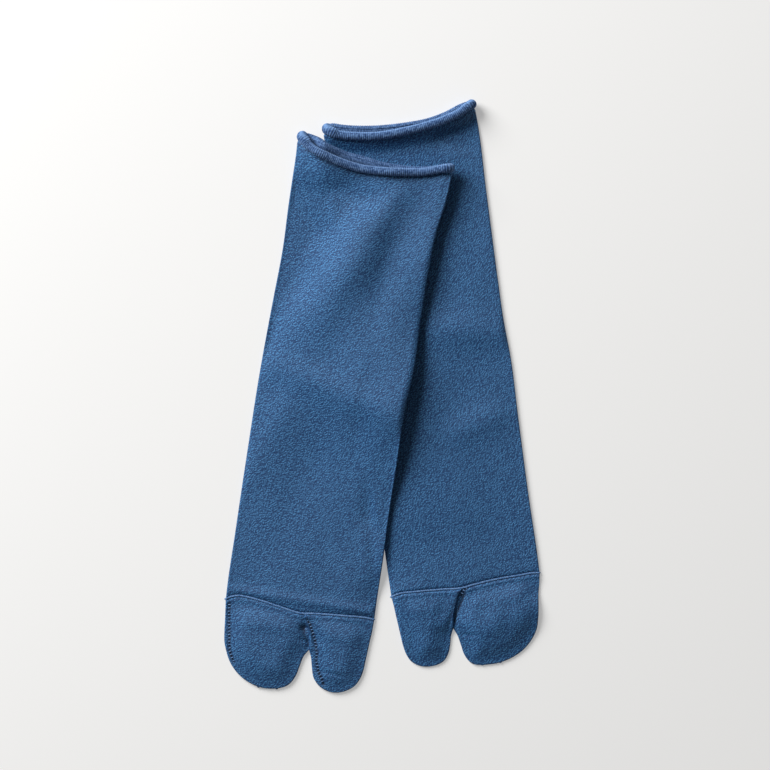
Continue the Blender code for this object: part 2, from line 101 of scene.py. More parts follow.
SEAM_DIP = 0.9  # how far both edges turn down into the linked seam
SEAM_DIP_REACH = 1.1
SEAM_WELT = 0.45  # how far the toe pocket's edge swells beyond it
SEAM_WELT_PLACE = 2.2
EAR = 0.7  # how far the seam's ends stand out past the folds
SEAM_SHADE = (0.5, 0.6, 0.5)  # painted shade beside the seam: how dark the leg is painted, how far from the seam, and over what width
CHAIN_RADIUS = 0.42
CHAIN_PITCH = 1.15
CHAIN_SINK = 0.2  # how deep the chain lies in the seam
CHAIN_STITCH = 1.35  # length of a stitch, in pitches
CHAIN_SIDE = 0.16  # how far the two yarns of a link lie to the sides
CHAIN_STAGGER = 0.25  # and how far one lies before the other
CHAIN_SLANT = 0.55
LINE_STEP = 0.2  # to each side of a place, to read a line's direction there
TUCK = 0.7  # how far the two lobes lie under and over each other between the split and the crotch
CROTCH_ROWS = 4  # rows of a lobe's table up to the crotch
TIP_START = 0.72  # steps of a lobe's table before its tip where the rows begin to bend round it
TIP = 0.3  # and where the last row lies along it
GORE_PITCH = 2.1
GORE_BAR = (2.0, 0.32)  # length and radius of a stitch across a gore
GORE_SINK = 0.15
KNOT_TURN = (0.8, 0.6)  # the way a knot lies, across and along the sock
GORE_DIP = 0.8
GORE_REACH = 0.85
CROTCH_REACH = 1.7  # width of the raised or lowered edge between the lobes

LEG_COLUMNS = 62  # points across each layer, between the folds' rounding
LOBE_COLUMNS = (58, 50)
FOLD_STEPS = 6  # points round a quarter of a fold
ROLL_STEPS = 22
BOWED_ROWS = 2  # rows of a lobe's table over which the seam's bow dies away
LEG_ROWS = 160  # between the close rows at the cuff and at the seam
CUFF_ROWS = (12.0, 0.8)  # how far the close rows reach from the cuff, and their spacing
SEAM_ROWS = (4.4, 3.4, 2.6, 1.9, 1.3, 0.8, 0.4, 0.0)  # distances of the close rows from the seam
TIP_ROWS = (0.9, 0.8, 0.7, 0.6, 0.51, 0.43, 0.37, 0.33, TIP)  # steps of a lobe's table before its tip
CUFF_SOFTENING = 24  # passes that round the cuff's line off at the folds
RIB_POINTS = 5

Section = namedtuple("Section", "s left right")  # the leg's two folds at a distance from the cuff
Mouth = namedtuple("Mouth", "share upper lower")  # centre of the roll, at a share of the way across
Seam = namedtuple("Seam", "share s")
Row = namedtuple("Row", "s_left left s_right right")  # one section of a toe lobe, by its two ends
Fold = namedtuple("Fold", "a s turn reach width height")  # a ridge, or a trough if its height is negative
# a dent's shade is how dark its hollow is painted, for the shade that falls in it
Dent = namedtuple("Dent", "a s reach height shade")
Curl = namedtuple("Curl", "s height")
Place = namedtuple("Place", "a s")
# a groove's shade is how dark it is painted, for the shade in it, and also how deep it dips
Groove = namedtuple("Groove", "shade line")
Sock = namedtuple(
    "Sock",
    "name place turn sections mouth fall seam split left_lobe right_lobe puff "
    "folds dents curl gores knots grooves under edges",
)

LEFT_SOCK = Sock(
    name="left",
    place=(9.8, 175.5),
    turn=-8.26,
    sections=(
        Section(-6, -48.2, 48.2),
        Section(8, -48.0, 49.1),
        Section(24, -47.6, 49.2),
        Section(45, -47.4, 48.6),
        Section(80, -47.4, 48.0),
        Section(110, -47.4, 47.6),
        Section(135, -47.4, 47.5),
        Section(160, -47.4, 48.5),
        Section(200, -47.4, 47.8),
        Section(250, -47.5, 47.2),
        Section(285, -47.6, 47.3),
        Section(300, -47.6, 47.0),
    ),
    mouth=(
        Mouth(0.0, 0.8, 0.8),
        Mouth(0.012, 3.5, -0.4),
        Mouth(0.03, 4.7, 0.3),
        Mouth(0.08, 6.2, 1.7),
        Mouth(0.19, 8.4, 3.8),
        Mouth(0.3, 9.8, 5.2),
        Mouth(0.41, 10.0, 5.9),
        Mouth(0.55, 9.3, 6.1),
        Mouth(0.69, 7.9, 5.5),
        Mouth(0.83, 5.4, 2.9),
        Mouth(0.95, 1.4, -0.8),
        Mouth(1.0, -1.5, -1.5),
    ),
    fall=(0.5, 11.0),
    seam=(
        Seam(0.0, 298.4),
        Seam(0.06, 297.0),
        Seam(0.16, 297.2),
        Seam(0.36, 298.3),
        Seam(0.47, 299.1),
        Seam(0.56, 298.0),
        Seam(0.7, 296.8),
        Seam(0.86, 296.4),
        Seam(0.95, 296.2),
        Seam(1.0, 296.9),
    ),
    split=Place(-2.8, 301.3),
    left_lobe=(
        Row(303.5, -47.0, 301.6, -4.6),
        Row(310.0, -46.5, 307.0, -7.5),
        Row(317.0, -45.9, 314.5, -10.5),
        Row(324.0, -45.3, 322.2, -11.9),
        Row(330.0, -44.7, 328.0, -13.8),
        Row(335.5, -43.5, 333.5, -15.2),
        Row(340.0, -41.3, 338.5, -17.0),
        Row(343.6, -36.8, 342.6, -20.0),
        Row(345.3, -29.0, 345.3, -29.0),
    ),
    right_lobe=(
        Row(301.6, -4.1, 303.0, 46.0),
        Row(307.0, -7.0, 309.5, 44.5),
        Row(314.5, -10.0, 317.0, 43.5),
        Row(322.2, -11.4, 324.5, 42.2),
        Row(328.5, -9.8, 331.5, 40.2),
        Row(334.5, -8.6, 337.8, 36.0),
        Row(341.0, -7.3, 342.8, 30.6),
        Row(346.4, -4.2, 346.6, 23.6),
        Row(349.4, 8.5, 349.4, 8.5),
    ),
    puff=3.6,
    folds=(
        Fold(26.0, 322.0, 165.0, 32.0, 9.5, 1.41),
        Fold(26.0, 138.0, 0.0, 32.0, 14.0, 0.94),
        Fold(-44.0, 318.0, 90.0, 32.0, 9.5, -2.16),
        Fold(24.0, 282.0, 90.0, 80.0, 14.0, -1.25),
        Fold(20.0, 114.0, 90.0, 80.0, 20.0, -1.83),
        Fold(-12.0, 312.0, 120.0, 13.0, 4.5, 1.61),
        Fold(22.0, 198.0, 165.0, 20.0, 9.5, 1.47),
        Fold(14.0, 306.0, 0.0, 50.0, 6.5, -0.99),
        Fold(32.0, 18.0, 15.0, 13.0, 6.5, -2.11),
        Fold(-14.0, 344.0, 15.0, 32.0, 14.0, -2.29),
        Fold(-38.0, 300.0, 165.0, 13.0, 9.5, 1.22),
        Fold(28.0, 124.0, 120.0, 80.0, 14.0, 0.76),
        Fold(24.0, 140.0, 15.0, 32.0, 9.5, 1.18),
        Fold(16.0, 320.0, 105.0, 13.0, 6.5, 1.02),
        Fold(-44.0, 320.0, 90.0, 32.0, 6.5, 2.47),
        Fold(40.0, 324.0, 15.0, 8.0, 9.5, 0.79),
        Fold(-22.0, 270.0, 0.0, 50.0, 14.0, -0.76),
        Fold(-40.0, 286.0, 90.0, 80.0, 9.5, 0.92),
        Fold(-2.5, 329.2, 10.0, 5.0, 0.9, -0.9),
    ),
    dents=(),
    curl=(Curl(0, 0.0), Curl(300, 0.0)),
    gores=((Place(-3.6, 303.4), Place(-1.7, 301.0), Place(0.6, 299.0)),),
    knots=(),
    grooves=(
        Groove(0.45, (Place(-4.9, 301.5), Place(-8.7, 307.5), Place(-11.6, 314.0), Place(-14.0, 320.5))),
        Groove(0.9, (Place(-1.6, 302.6), Place(-5.0, 308.6), Place(-8.6, 314.6), Place(-10.4, 319.5))),
    ),
    under=None,
    edges=(0.7, -0.5),
)

RIGHT_SOCK = Sock(
    name="right",
    place=(-4.5, 151.2),
    turn=9.0,
    sections=(
        Section(-6, -50.2, 49.7),
        Section(8, -49.5, 49.4),
        Section(22, -49.4, 48.5),
        Section(40, -49.2, 45.7),
        Section(65, -48.5, 44.5),
        Section(100, -49.5, 44.5),
        Section(132, -50.4, 45.0),
        Section(152, -50.7, 43.5),
        Section(190, -50.6, 43.8),
        Section(222, -50.4, 43.9),
        Section(250, -50.1, 44.6),
        Section(278, -49.9, 44.8),
        Section(300, -49.0, 45.4),
    ),
    mouth=(
        Mouth(0.0, -4.9, -4.9),
        Mouth(0.012, -2.0, -5.6),
        Mouth(0.03, -0.5, -4.7),
        Mouth(0.08, 2.5, -3.0),
        Mouth(0.19, 5.9, 0.3),
        Mouth(0.3, 8.3, 2.7),
        Mouth(0.41, 9.4, 3.8),
        Mouth(0.55, 9.1, 5.5),
        Mouth(0.69, 7.6, 5.6),
        Mouth(0.83, 5.6, 4.3),
        Mouth(0.95, 2.0, 1.6),
        Mouth(1.0, 0.4, 0.4),
    ),
    fall=(4.0, 50.0),
    seam=(
        Seam(0.0, 290.6),
        Seam(0.04, 288.5),
        Seam(0.09, 287.0),
        Seam(0.15, 287.0),
        Seam(0.27, 288.3),
        Seam(0.4, 290.4),
        Seam(0.5, 291.8),
        Seam(0.6, 290.7),
        Seam(0.8, 289.1),
        Seam(0.95, 288.3),
        Seam(1.0, 288.7),
    ),
    split=Place(1.2, 295.2),
    left_lobe=(
        Row(298.0, -48.5, 295.4, 2.1),
        Row(304.0, -47.8, 301.0, 4.7),
        Row(310.5, -47.1, 307.0, 6.7),
        Row(317.0, -46.1, 312.4, 7.2),
        Row(323.0, -43.9, 318.5, 4.7),
        Row(328.8, -40.9, 325.0, 3.2),
        Row(334.2, -36.2, 331.5, 1.7),
        Row(338.8, -29.6, 337.0, -1.3),
        Row(342.1, -14.5, 342.1, -14.5),
    ),
    right_lobe=(
        Row(295.4, 2.6, 297.0, 44.9),
        Row(301.0, 5.2, 303.5, 44.4),
        Row(307.0, 7.2, 309.5, 44.1),
        Row(312.4, 7.7, 315.5, 43.7),
        Row(318.0, 9.2, 321.5, 43.3),
        Row(324.5, 10.9, 327.0, 42.0),
        Row(330.5, 12.8, 331.8, 39.4),
        Row(335.2, 17.0, 335.3, 35.3),
        Row(338.1, 26.8, 338.1, 26.8),
    ),
    puff=3.0,
    folds=(
        Fold(-36.0, 92.0, 114.0, 34.0, 9.0, -0.59),
        Fold(-14.0, 78.0, 114.0, 40.0, 12.0, 0.74),
        Fold(14.0, 96.0, 105.0, 40.0, 16.0, 0.22),
        Fold(-40.0, 120.0, 105.0, 30.0, 12.0, 1.54),
        Fold(20.0, 130.0, 90.0, 40.0, 20.0, 1.14),
        Fold(44.0, 98.0, 90.0, 40.0, 14.0, -0.42),
        Fold(0.0, 95.0, 90.0, 80.0, 32.0, 8.23),
        Fold(-36.0, 64.0, 120.0, 80.0, 20.0, -1.88),
        Fold(18.0, 70.0, 105.0, 80.0, 14.0, -4.31),
        Fold(40.0, 202.0, 105.0, 50.0, 14.0, -1.51),
        Fold(28.0, 50.0, 30.0, 32.0, 20.0, 0.41),
        Fold(-44.0, 106.0, 120.0, 50.0, 9.5, -0.92),
        Fold(-20.0, 230.0, 105.0, 80.0, 14.0, -1.12),
        Fold(-6.0, 110.0, 105.0, 32.0, 9.5, -1.62),
        Fold(36.0, 248.0, 75.0, 20.0, 6.5, 2.02),
        Fold(-40.0, 190.0, 105.0, 32.0, 9.5, 1.25),
        Fold(10.0, 20.0, 135.0, 50.0, 6.5, -1.07),
        Fold(-22.0, 28.0, 0.0, 32.0, 9.5, -1.73),
        Fold(46.0, 224.0, 120.0, 13.0, 9.5, -0.23),
        Fold(12.0, 284.0, 0.0, 80.0, 3.0, 1.13),
        Fold(4.0, 152.0, 15.0, 50.0, 9.5, 1.69),
        Fold(-36.0, 70.0, 120.0, 50.0, 20.0, 8.85),
        Fold(-40.0, 78.0, 120.0, 80.0, 20.0, -7.09),
        Fold(-30.0, 58.0, 120.0, 50.0, 20.0, -6.05),
        Fold(-44.0, 80.0, 120.0, 50.0, 20.0, -1.23),
        Fold(-50.0, 92.0, 120.0, 50.0, 20.0, 0.13),
        Fold(-48.0, 96.0, 105.0, 32.0, 14.0, 0.68),
        Fold(-48.0, 86.0, 120.0, 32.0, 20.0, 3.87),
        Fold(23.5, 326.4, 3.0, 8.0, 1.1, -1.0),
        Fold(3.2, 308.6, 8.0, 4.0, 0.8, -0.9),
    ),
    dents=(
        Dent(2.0, 300.9, 2.3, -2.0, 1.0),
    ),
    curl=(
        Curl(0, 2.0),
        Curl(21, 2.6),
        Curl(53, 4.4),
        Curl(85, 3.8),
        Curl(98, 3.4),
        Curl(110, 4.4),
        Curl(125, 7.0),
        Curl(150, 9.4),
        Curl(170, 8.4),
        Curl(190, 5.0),
        Curl(212, 1.4),
        Curl(232, 0.1),
        Curl(300, 0.0),
    ),
    gores=(
        (
            Place(-46.6, 292.5),
            Place(-45.9, 298.1),
            Place(-45.0, 304.4),
            Place(-43.9, 310.6),
            Place(-42.8, 316.8),
            Place(-41.9, 321.7),
            Place(-40.2, 325.3),
            Place(-38.5, 328.2),
        ),
        (
            Place(2.9, 295.2),
            Place(5.3, 297.3),
            Place(8.3, 303.0),
            Place(10.4, 307.5),
            Place(11.7, 311.5),
            Place(12.7, 315.4),
            Place(13.0, 319.6),
            Place(14.2, 322.9),
            Place(15.6, 326.8),
            Place(18.1, 330.2),
            Place(19.8, 333.7),
        ),
    ),
    knots=(Place(3.3, 301.0), Place(3.9, 301.6)),
    grooves=(Groove(0.6, (Place(2.4, 304.4), Place(5.4, 308.3), Place(6.9, 311.6))),),
    under=LEFT_SOCK,
    edges=(-0.5, 0.8),
)

# ---------------------------------------------------------------- form


def ease(value):
    """0 before 0, 1 after 1 and smooth between them."""
    value = np.clip(value, 0.0, 1.0)
    return value * value * (3.0 - 2.0 * value)


def falling(value, limits):
    """1 before the first limit and 0 after the second."""
    return ease((limits[1] - value) / (limits[1] - limits[0]))


def bell(distance):
    return np.exp(-(distance**2))


def through(knots, values, where):
    """A smooth curve through the values at the knots, read at each place."""
    knots, values = np.asarray(knots, float), np.asarray(values, float)
    slopes = np.gradient(values, knots)
    where = np.clip(where, knots[0], knots[-1])
    index = np.clip(np.searchsorted(knots, where, side="right") - 1, 0, len(knots) - 2)
    step = knots[index + 1] - knots[index]
    t = (where - knots[index]) / step
    return (
        values[index] * (1 + 2 * t) * (1 - t) ** 2
        + values[index + 1] * t * t * (3 - 2 * t)
        + slopes[index] * step * t * (1 - t) ** 2
        - slopes[index + 1] * step * t * t * (1 - t)
    )


def column(table, name):
    return [getattr(row, name) for row in table]


def folds_at(sock, s):
    """Where the leg's left and right folds are, at a distance from the cuff."""
    at = column(sock.sections, "s")
    return through(at, column(sock.sections, "left"), s), through(at, column(sock.sections, "right"), s)


def mouth_at(sock, share, layer):
    return through(column(sock.mouth, "share"), column(sock.mouth, layer), share)


def split_share(sock):
    left, right = folds_at(sock, sock.split.s)
    return (sock.split.a - left) / (right - left)


def seam_at(sock, share, layer):
    """The seam dips and rises on the instep, and the sole carries on under it, straight on each side."""
    s = through(column(sock.seam, "share"), column(sock.seam, "s"), share)
    if layer == "upper":
        return s
    middle = split_share(sock)
    at_split = through(column(sock.seam, "share"), column(sock.seam, "s"), middle)
    return np.interp(share, (0.0, middle, 1.0), (sock.seam[0].s, at_split, sock.seam[-1].s))


def to_world(sock, a, s):
    turn = math.radians(sock.turn)
    x = sock.place[0] + a * math.cos(turn) - s * math.sin(turn)
    y = sock.place[1] - a * math.sin(turn) - s * math.cos(turn)
    return x, y


def to_sock(sock, x, y):
    turn = math.radians(sock.turn)
    x, y = x - sock.place[0], y - sock.place[1]
    return x * math.cos(turn) - y * math.sin(turn), -x * math.sin(turn) - y * math.cos(turn)


def lying_height(sock, a, s, drape):
    """What the upper sock lies on: the surface, then up and over the other sock."""
    if sock.under is None:
        return np.zeros_like(a)
    under_a, under_s = to_sock(sock.under, *to_world(sock, a, s))
    left = folds_at(sock.under, under_s)[0]
    top = height(sock.under, np.maximum(under_a, left + CROWN_REACH), under_s, "upper", folds=False)
    return (top + LYING_GAP) * ease((under_a - left - drape[0]) / (drape[1] - drape[0]))


def creases(sock, a, s):
    total = np.zeros_like(a)
    for fold in sock.folds:
        turn = math.radians(fold.turn)
        along = (a - fold.a) * math.cos(turn) + (s - fold.s) * math.sin(turn)
        across = (s - fold.s) * math.cos(turn) - (a - fold.a) * math.sin(turn)
        total += fold.height * np.exp(-((along / fold.reach) ** 4) - (across / fold.width) ** 2)
    for dent in sock.dents:
        total += dent.height * bell(np.hypot(a - dent.a, s - dent.s) / dent.reach)
    return total


def line_distance(line, a, s):
    """Distance of each place from a line through points (a, s)."""
    line = np.array(line, float)
    start, step = line[:-1], np.diff(line, axis=0)
    offset = np.stack((a, s), axis=-1)[..., None, :] - start
    t = np.clip((offset * step).sum(axis=-1) / (step**2).sum(axis=1), 0.0, 1.0)
    return np.linalg.norm(offset - t[..., None] * step, axis=-1).min(axis=-1)


def height(sock, a, s, layer, folds=True):
    """Height of a layer's outer face away from the folds' rounding."""
    left, right = folds_at(sock, s)
    share = np.clip((a - left) / (right - left), 0.0, 1.0)
    inside = np.minimum(a - left, right - a)
    from_cuff = s - mouth_at(sock, share, layer)
    on_roll = 2 * ROLL_LOWER + ROLL_WALL
    curl = np.maximum(through(column(sock.curl, "s"), column(sock.curl, "height"), s), 0.0)
    z = curl * ease((a - right + CURL_WIDTH) / CURL_WIDTH)
    if layer == "lower":
        on_roll *= falling(from_cuff, CUFF_RISE)
        return z + on_roll + lying_height(sock, a, s, DRAPE_LOWER)
    lower = height(sock, a, s, "lower")
    on_toes = ease((s - sock.split.s) / PUFF_RISE)
    close = lying_height(sock, a, s, DRAPE_LOWER)
    bridging = lying_height(sock, a, s, DRAPE_UPPER)
    crown = CROWN * ease(inside / CROWN_REACH) * (1.0 - on_toes)
    z += close + (bridging - close) * ease(inside / BRIDGE_REACH) + FLAT + crown
    on_roll += MOUTH * ease(inside / ROLL_TAPER)
    z += on_roll * falling(from_cuff, sock.fall)
    z += creases(sock, a, s) * ease(inside / CREASE_TAPER) if folds else 0.0
    return kept_between(z, lower + 2 * WALL + LEAST_AIR, lower + 2 * WALL + MOST_AIR)


def kept_between(z, low, high):
    """Heights kept between two limits, gently."""
    z = high - 0.5 * (high - z + np.sqrt((high - z) ** 2 + SOFT_HIGH))
    return low + 0.5 * (z - low + np.sqrt((z - low) ** 2 + SOFT_LOW))


def rounded(sock, a, s, layer, inside, puff=0.0):
    """Height of a point of a layer, with the fold beside it rounded from one layer into the other."""
    upper, lower = height(sock, a, s, "upper") + puff, height(sock, a, s, "lower")
    middle, half = (upper + lower) / 2, (upper - lower) / 2
    dome = np.sqrt(1.0 - (1.0 - np.clip(inside / EDGE, 0.0, 1.0)) ** 2)
    return middle + (half if layer == "upper" else -half) * dome


def spread(count, length):
    """Distances of a row's points from its left end: close round each fold, and even between them."""
    radius = min(EDGE, length / 4)
    corner = radius * (1.0 - np.cos(np.linspace(0.0, math.pi / 2, FOLD_STEPS + 1)))
    between = np.linspace(radius, length - radius, count + 2)[1:-1]
    return np.concatenate((corner, between, length - corner[::-1]))


def around(upper, lower):
    """One closed row from a row's upper points, left to right, and its lower ones, back to the left."""
    return np.concatenate((upper, lower[-2::-1]))


def in_space(sock, points):
    x, y = to_world(sock, points[..., 0], points[..., 1])
    return np.stack((x, y, points[..., 2]), axis=-1) + CENTRED


def unit(vectors):
    return vectors / np.linalg.norm(vectors, axis=-1, keepdims=True)


def leg_row(sock, share_down, from_cuff, count):
    """A closed row of the leg at a share of the way from the cuff to the seam, plus a distance."""
    layers = []
    for layer in ("upper", "lower"):
        ends = []
        for share in (0.0, 1.0):
            start = mouth_at(sock, share, layer)
            s = start + (seam_at(sock, share, layer) - SEAM_GAP / 2 - start) * share_down + from_cuff
            drawn_in = NARROWING[int(share)] * ease(1.0 - (s - start) / NARROWING_REACH)
            ends.append(folds_at(sock, s)[int(share)] + drawn_in * (1.0 - 2.0 * share))
        length = ends[1] - ends[0]
        distance = spread(count, length)
        a, share = ends[0] + distance, distance / length
        start = mouth_at(sock, share, layer)
        s = start + (seam_at(sock, share, layer) - SEAM_GAP / 2 - start) * share_down + from_cuff
        inside = np.minimum(distance, length - distance)
        z = rounded(sock, a, s, layer, inside)
        if layer == "upper":
            z = z - seam_dip(sock, a, s) * ease(inside / EDGE)
        layers.append(np.column_stack((a, s, z)))
    return around(*layers)


def seam_dip(sock, a, s):
    left, right = folds_at(sock, s)
    share = np.clip((a - left) / (right - left), 0.0, 1.0)
    past = s - seam_at(sock, share, "upper")
    welt = SEAM_WELT * bell((past - SEAM_WELT_PLACE) / SEAM_DIP_REACH)
    return SEAM_DIP * bell(past / SEAM_DIP_REACH) - welt


def grooves(sock):
    return [Groove(1.0, line) for line in sock.gores] + list(sock.grooves)


def painted_crease_shade(sock, a, s):
    """Painted shade: how much darker the yarn is coloured where shade falls in a crease: beside the seam,
    along the gores and in the dents.
    """
    left, right = folds_at(sock, s)
    share = np.clip((a - left) / (right - left), 0.0, 1.0)
    darkest, before, width = SEAM_SHADE
    total = darkest * bell((s + before - seam_at(sock, share, "upper")) / width)
    for groove in grooves(sock):
        total = np.maximum(total, groove.shade * bell(line_distance(groove.line, a, s) / GORE_REACH))
    for dent in sock.dents:
        total = total + dent.shade * bell(np.hypot(a - dent.a, s - dent.s) / dent.reach)
    return np.clip(total, 0.0, 1.0)


# ---------------------------------------------------------------- meshes


def cloth_panel(name, points, knit, shade):
    """A knitted panel from rows of points, whose last column lies on its first."""
    rows, columns = points.shape[:2]
    bpy.ops.object.select_all(action="DESELECT")
    bpy.ops.mesh.primitive_grid_add(x_subdivisions=columns - 1, y_subdivisions=rows - 1, size=1)
    obj = bpy.context.object
    obj.name = name
    data = obj.data
    data.vertices.foreach_set("co", (points.reshape(-1, 3) * MM).astype(np.float32).ravel())
    corners = np.empty(len(data.loops), np.int32)
    data.loops.foreach_get("vertex_index", corners)
    data.uv_layers[0].name = "knit"
    data.uv_layers[0].data.foreach_set("uv", knit.reshape(-1, 2)[corners].astype(np.float32).ravel())
    # the painted shade of the creases, kept as the attribute dark for the jersey's colour
    dark = data.attributes.new("dark", "FLOAT", "POINT")
    dark.data.foreach_set("value", shade.astype(np.float32).ravel())
    bpy.ops.object.mode_set(mode="EDIT")
    bpy.ops.mesh.select_all(action="SELECT")
    bpy.ops.mesh.remove_doubles(threshold=1e-6)
    bpy.ops.mesh.flip_normals()
    bpy.ops.object.mode_set(mode="OBJECT")
    data.shade_smooth()
    return obj


def thicken(obj, thickness, offset=-1.0, inside=0):
    """Thickness for a panel, whose inside takes the material slot after the outside's by so many."""
    modifier = obj.modifiers.new("jersey", "SOLIDIFY")
    modifier.thickness = thickness * MM
    modifier.offset = offset
    modifier.material_offset = inside
    modifier.material_offset_rim = inside
    apply_modifier(obj, modifier)


def apply_modifier(obj, modifier):
    bpy.context.view_layer.objects.active = obj
    bpy.ops.object.modifier_apply(modifier=modifier.name)


def joined(name, objects):
    bpy.ops.object.select_all(action="DESELECT")
    for obj in objects:
        obj.select_set(True)
    bpy.context.view_layer.objects.active = objects[0]
    if len(objects) > 1:
        bpy.ops.object.join()
    objects[0].name = name
    objects[0].data.name = name
    return objects[0]


def row_shares(length):
    """Shares of the way down the leg: close under the cuff and at the seam, and even between them."""
    near_cuff = np.arange(0.0, *CUFF_ROWS)
    near_seam = length - np.array(SEAM_ROWS)
    between = np.linspace(near_cuff[-1], near_seam[0], LEG_ROWS)[1:-1]
    return np.concatenate((near_cuff, between, near_seam)) / length


def leg(sock, jersey, purl):
    """The leg and foot, knitted in the round, from the cuff to the linked seam."""
    length = sock.seam[0].s
    shares = row_shares(length)
    rows = np.array([leg_row(sock, share, 0.0, LEG_COLUMNS) for share in shares])
    placed = in_space(sock, rows)
    steps = np.linalg.norm(np.diff(placed, axis=1), axis=2)
    girth = np.concatenate((np.zeros((len(rows), 1)), np.cumsum(steps, axis=1)), axis=1)
    wales = girth / girth[:, -1:] * WALES
    courses = np.repeat(shares[:, None] * length / COURSE, rows.shape[1], axis=1)
    upper = np.arange(rows.shape[1]) < LEG_COLUMNS + 2 * FOLD_STEPS + 2
    # painted shade in the creases, on the upper layer only
    shade = painted_crease_shade(sock, rows[..., 0], rows[..., 1]) * upper
    obj = cloth_panel(f"{sock.name}_leg", placed, np.stack((wales, courses), axis=-1), shade)
    obj.data.materials.append(jersey)
    obj.data.materials.append(purl)
    thicken(obj, WALL, inside=1)
    return obj


def softened(line, passes):
    """A closed line's points, or a value at each, evened out with their neighbours."""
    for _ in range(passes):
        line = (np.roll(line, 1, axis=0) + 2.0 * line + np.roll(line, -1, axis=0)) / 4.0
    return line


def evenly(count, line, *others):
    """A closed line's points at even steps along it, and the rows of the others at the same places."""
    closed = [np.concatenate((rows, rows[:1])) for rows in (line, *others)]
    arc = np.concatenate(([0.0], np.cumsum(np.linalg.norm(np.diff(closed[0], axis=0), axis=1))))
    where = np.linspace(0.0, arc[-1], count, endpoint=False)
    return [np.column_stack([np.interp(where, arc, values) for values in rows.T]) for rows in closed]


def rolled_cuff(sock):
    """The raw edge's curl: from the top of the leg outward and back down onto it, purl side out."""
    left, right = folds_at(sock, 0.0)
    ribs = round(2 * (right - left) / RIB)
    count = ribs * RIB_POINTS
    cuff = softened(*evenly(count, in_space(sock, leg_row(sock, 0.0, 0.0, LEG_COLUMNS))[:-1]), CUFF_SOFTENING)
    along = unit(np.roll(cuff, -1, axis=0) - np.roll(cuff, 1, axis=0))
    turn = math.radians(sock.turn)
    outward = unit(np.cross((-math.sin(turn), -math.cos(turn), 0.0), along))
    upward = outward[:, 2]
    to_left, to_right = cuff[:, 0] - cuff[:, 0].min(), cuff[:, 0].max() - cuff[:, 0]
    end = np.where(to_left < to_right, *ROLL_END)
    upper = end + (ROLL_UPPER - end) * ease(np.minimum(to_left, to_right) / ROLL_TAPER)
    radius = np.where(upward > 0.0, upper, ROLL_LOWER + (end - ROLL_LOWER) * ease(1.0 + upward))
    rest = ROLL_REST[0] + (ROLL_REST[1] - ROLL_REST[0]) * ease(-upward)
    centre = softened(cuff + outward * radius[:, None], CUFF_SOFTENING)
    centre, cuff, radius, rest = evenly(count, centre, cuff, radius[:, None], rest[:, None])
    along = unit(np.roll(centre, -1, axis=0) - np.roll(centre, 1, axis=0))
    inward = unit(np.cross(along, np.cross(cuff - centre, along)))
    away = np.cross(along, inward)
    curl = 2 * math.pi - np.arccos((radius - rest) / (radius + ROLL_WALL))
    phase = np.arange(count)[:, None] / RIB_POINTS
    rings, knit = [], []
    for step in range(ROLL_STEPS + 1):
        angle = curl * step / ROLL_STEPS
        reach = radius + ROLL_WALL + RIB_DEPTH * np.cos(2 * math.pi * phase) * ease(step / 4)
        ring = centre + reach * (inward * np.cos(angle) + away * np.sin(angle))
        rings.append(np.concatenate((ring, ring[:1])))
        knit.append(np.column_stack((np.append(phase, ribs), np.full(count + 1, step * ROLL_COURSE))))
    points, knit = np.array(rings), np.array(knit)
    obj = cloth_panel(f"{sock.name}_rolled_cuff", points[::-1], knit[::-1], np.zeros(points.shape[:2]))
    thicken(obj, ROLL_WALL * 0.9, offset=1.0)
    return obj


